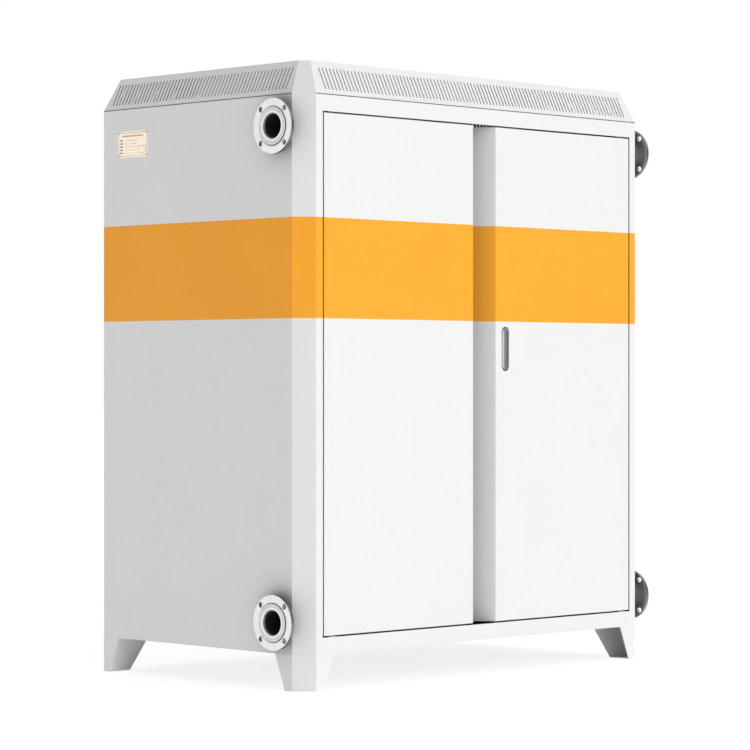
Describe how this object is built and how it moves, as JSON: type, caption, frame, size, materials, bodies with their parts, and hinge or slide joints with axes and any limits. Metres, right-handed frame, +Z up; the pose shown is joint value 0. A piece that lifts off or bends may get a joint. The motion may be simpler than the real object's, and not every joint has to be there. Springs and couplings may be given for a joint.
{
  "type": "industrial boiler",
  "caption": "Cabinet hot water boiler with a slotted hood, tapered legs, a double door with a centre groove, and flanged supply and return headers.",
  "frame": {"origin": "on the ground at the middle of the footprint", "axes": "+X to the right along the front, +Y to the back, +Z up; the doors face -Y"},
  "size_m": [1.89, 1.116, 2.24],
  "materials": {
    "cabinet_paint": "smooth white powder coat with an orange band",
    "frame_steel": "grey primer on folded steel",
    "flange_steel": "machined, with a serrated raised face",
    "pipe_steel": "satin grey pipe paint",
    "jacket": "dark grey insulated jacket",
    "burner_casting": "cast aluminium",
    "flue_steel": "stainless sheet",
    "pull_metal": "satin plated",
    "pin_steel": "turned steel",
    "plate_metal": "cream enamelled plate"
  },
  "bodies": {
    "cabinet": {"back_left_leg": "cabinet_paint", "back_left_post": "cabinet_paint", "back_panel": "cabinet_paint", "back_right_leg": "cabinet_paint", "back_right_post": "cabinet_paint", "base_tray": "frame_steel", "collar_flange": "flue_steel", "flue_collar": "flue_steel", "flue_duct": "flue_steel", "front_bottom_rail": "cabinet_paint", "front_left_leg": "cabinet_paint", "front_left_post": "cabinet_paint", "front_right_leg": "cabinet_paint", "front_right_post": "cabinet_paint", "front_top_rail": "cabinet_paint", "hood_back_left_facet": "cabinet_paint", "hood_back_panel": "cabinet_paint", "hood_back_right_facet": "cabinet_paint", "hood_front_left_facet": "cabinet_paint", "hood_front_panel": "cabinet_paint", "hood_front_right_facet": "cabinet_paint", "hood_left_panel": "cabinet_paint", "hood_neck": "frame_steel", "hood_right_panel": "cabinet_paint", "hood_top": "cabinet_paint", "left_burner": "burner_casting", "left_flanges": "flange_steel", "left_module": "jacket", "left_side_panel": "cabinet_paint", "module_stand": "frame_steel", "pivot_pins": "pin_steel", "rating_plate": "plate_metal", "return_branches": "pipe_steel", "return_header": "pipe_steel", "right_burner": "burner_casting", "right_flanges": "flange_steel", "right_module": "jacket", "right_side_panel": "cabinet_paint", "supply_branches": "pipe_steel", "supply_header": "pipe_steel"},
    "left_door": {"left_door": "cabinet_paint"},
    "right_door": {"right_door": "cabinet_paint", "door_pull": "pull_metal"}
  },
  "joints": [
    {"name": "left_door_hinge", "type": "hinge", "parent": "cabinet", "child": "left_door", "pos_m": [-0.7641, -0.551, 1.08275], "axis": [0, 0, -1], "range_deg": [0, 110]},
    {"name": "right_door_hinge", "type": "hinge", "parent": "cabinet", "child": "right_door", "pos_m": [0.7641, -0.551, 1.08275], "axis": [0, 0, 1], "range_deg": [0, 110]}
  ]
}
